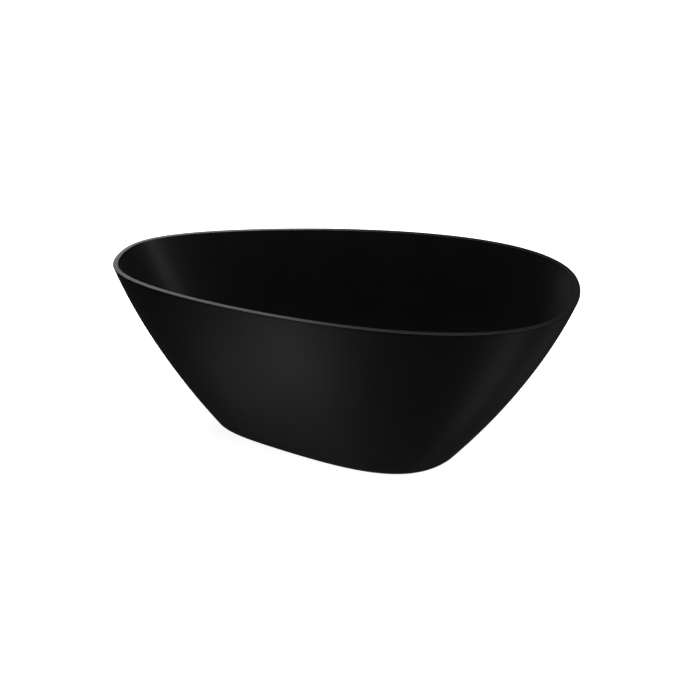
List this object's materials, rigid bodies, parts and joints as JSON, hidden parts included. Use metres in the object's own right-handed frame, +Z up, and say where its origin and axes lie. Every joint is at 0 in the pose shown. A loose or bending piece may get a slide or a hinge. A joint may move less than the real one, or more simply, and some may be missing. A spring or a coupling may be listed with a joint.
{
  "type": "freestanding bathtub",
  "caption": "Freestanding double-skin bathtub, egg-shaped in plan with a thin flat rim, on levelling feet, with push plug, overflow and trap.",
  "frame": {"origin": "on the floor, under the centre of the rim's box", "axes": "+X towards the broad end, +Y towards the far long side, +Z up"},
  "size_m": [1.599, 0.7996, 0.6],
  "materials": {
    "black_acrylic": "matt",
    "black_metal": "satin powder coat",
    "adhesive": "cured polyurethane",
    "board": "raw chipboard",
    "galvanised_steel": "galvanised",
    "zinc_plate": "bright zinc plate",
    "rubber": "matt",
    "white_plastic": "moulded polypropylene",
    "brass": "turned",
    "stainless": "bright"
  },
  "bodies": {
    "tub": {"basin_shell": "black_acrylic", "outer_skirt": "black_acrylic", "waste_flange": "black_metal", "overflow_cover": "black_metal", "rim_bond": "adhesive", "floor_board": "board", "skirt_block_1": "board", "skirt_block_2": "board", "skirt_block_3": "board", "skirt_block_4": "board", "side_rail_front": "galvanised_steel", "side_rail_rear": "galvanised_steel", "cross_member_wide": "galvanised_steel", "cross_member_centre": "galvanised_steel", "cross_member_narrow": "galvanised_steel", "skirt_bracket_1": "galvanised_steel", "skirt_bracket_2": "galvanised_steel", "skirt_bracket_3": "galvanised_steel", "skirt_bracket_4": "galvanised_steel", "board_bolt_1": "zinc_plate", "board_bolt_2": "zinc_plate", "board_bolt_3": "zinc_plate", "board_bolt_4": "zinc_plate", "bracket_screw_1": "zinc_plate", "bracket_screw_2": "zinc_plate", "bracket_screw_3": "zinc_plate", "bracket_screw_4": "zinc_plate", "foot_lock_nut_1": "zinc_plate", "foot_lock_nut_2": "zinc_plate", "foot_lock_nut_3": "zinc_plate", "foot_lock_nut_4": "zinc_plate", "foot_lock_nut_5": "zinc_plate", "flange_seal": "rubber", "body_seal": "rubber", "trap_seal": "rubber", "outlet_seal": "rubber", "overflow_seal": "rubber", "waste_body": "white_plastic", "trap_body": "white_plastic", "trap_union_nut": "white_plastic", "trap_cleaning_cup": "white_plastic", "outlet_nut": "white_plastic", "overflow_body": "white_plastic", "overflow_hose": "white_plastic", "plug_cartridge": "brass", "plug_spring": "stainless", "overflow_screw": "stainless"},
    "plug": {"plug_cap": "black_metal", "plug_seal": "rubber", "plug_stem": "brass"},
    "foot_1_pad": {"foot_pad_1": "rubber"},
    "foot_1_stud": {"foot_stud_1": "zinc_plate"},
    "foot_2_pad": {"foot_pad_2": "rubber"},
    "foot_2_stud": {"foot_stud_2": "zinc_plate"},
    "foot_3_pad": {"foot_pad_3": "rubber"},
    "foot_3_stud": {"foot_stud_3": "zinc_plate"},
    "foot_4_pad": {"foot_pad_4": "rubber"},
    "foot_4_stud": {"foot_stud_4": "zinc_plate"},
    "foot_5_pad": {"foot_pad_5": "rubber"},
    "foot_5_stud": {"foot_stud_5": "zinc_plate"}
  },
  "joints": [
    {"name": "plug_lift", "type": "slide", "parent": "tub", "child": "plug", "axis": [0, 0, 1], "range_m": [0, 0.008], "deforming": ["plug_spring"]},
    {"name": "foot_1_travel", "type": "slide", "parent": "tub", "child": "foot_1_pad", "axis": [0, 0, 1], "range_m": [-0.015, 0.003]},
    {"name": "foot_1_turn", "type": "hinge", "parent": "foot_1_pad", "child": "foot_1_stud", "pos_m": [0.29, -0.21503, 0.03], "axis": [0, 0, 1], "range_deg": [-3090, 620]},
    {"name": "foot_2_travel", "type": "slide", "parent": "tub", "child": "foot_2_pad", "axis": [0, 0, 1], "range_m": [-0.015, 0.003]},
    {"name": "foot_2_turn", "type": "hinge", "parent": "foot_2_pad", "child": "foot_2_stud", "pos_m": [0.29, 0.21503, 0.03], "axis": [0, 0, 1], "range_deg": [-3090, 620]},
    {"name": "foot_3_travel", "type": "slide", "parent": "tub", "child": "foot_3_pad", "axis": [0, 0, 1], "range_m": [-0.015, 0.003]},
    {"name": "foot_3_turn", "type": "hinge", "parent": "foot_3_pad", "child": "foot_3_stud", "pos_m": [-0.29, -0.12308, 0.03], "axis": [0, 0, 1], "range_deg": [-3090, 620]},
    {"name": "foot_4_travel", "type": "slide", "parent": "tub", "child": "foot_4_pad", "axis": [0, 0, 1], "range_m": [-0.015, 0.003]},
    {"name": "foot_4_turn", "type": "hinge", "parent": "foot_4_pad", "child": "foot_4_stud", "pos_m": [-0.29, 0.12308, 0.03], "axis": [0, 0, 1], "range_deg": [-3090, 620]},
    {"name": "foot_5_travel", "type": "slide", "parent": "tub", "child": "foot_5_pad", "axis": [0, 0, 1], "range_m": [-0.015, 0.003]},
    {"name": "foot_5_turn", "type": "hinge", "parent": "foot_5_pad", "child": "foot_5_stud", "pos_m": [0.11, 0, 0.03], "axis": [0, 0, 1], "range_deg": [-3090, 620]}
  ],
  "couplings": [
    {"joint": "foot_1_turn", "follows": "foot_1_travel", "rad_per_m": 3590.4},
    {"joint": "foot_2_turn", "follows": "foot_2_travel", "rad_per_m": 3590.4},
    {"joint": "foot_3_turn", "follows": "foot_3_travel", "rad_per_m": 3590.4},
    {"joint": "foot_4_turn", "follows": "foot_4_travel", "rad_per_m": 3590.4},
    {"joint": "foot_5_turn", "follows": "foot_5_travel", "rad_per_m": 3590.4}
  ]
}
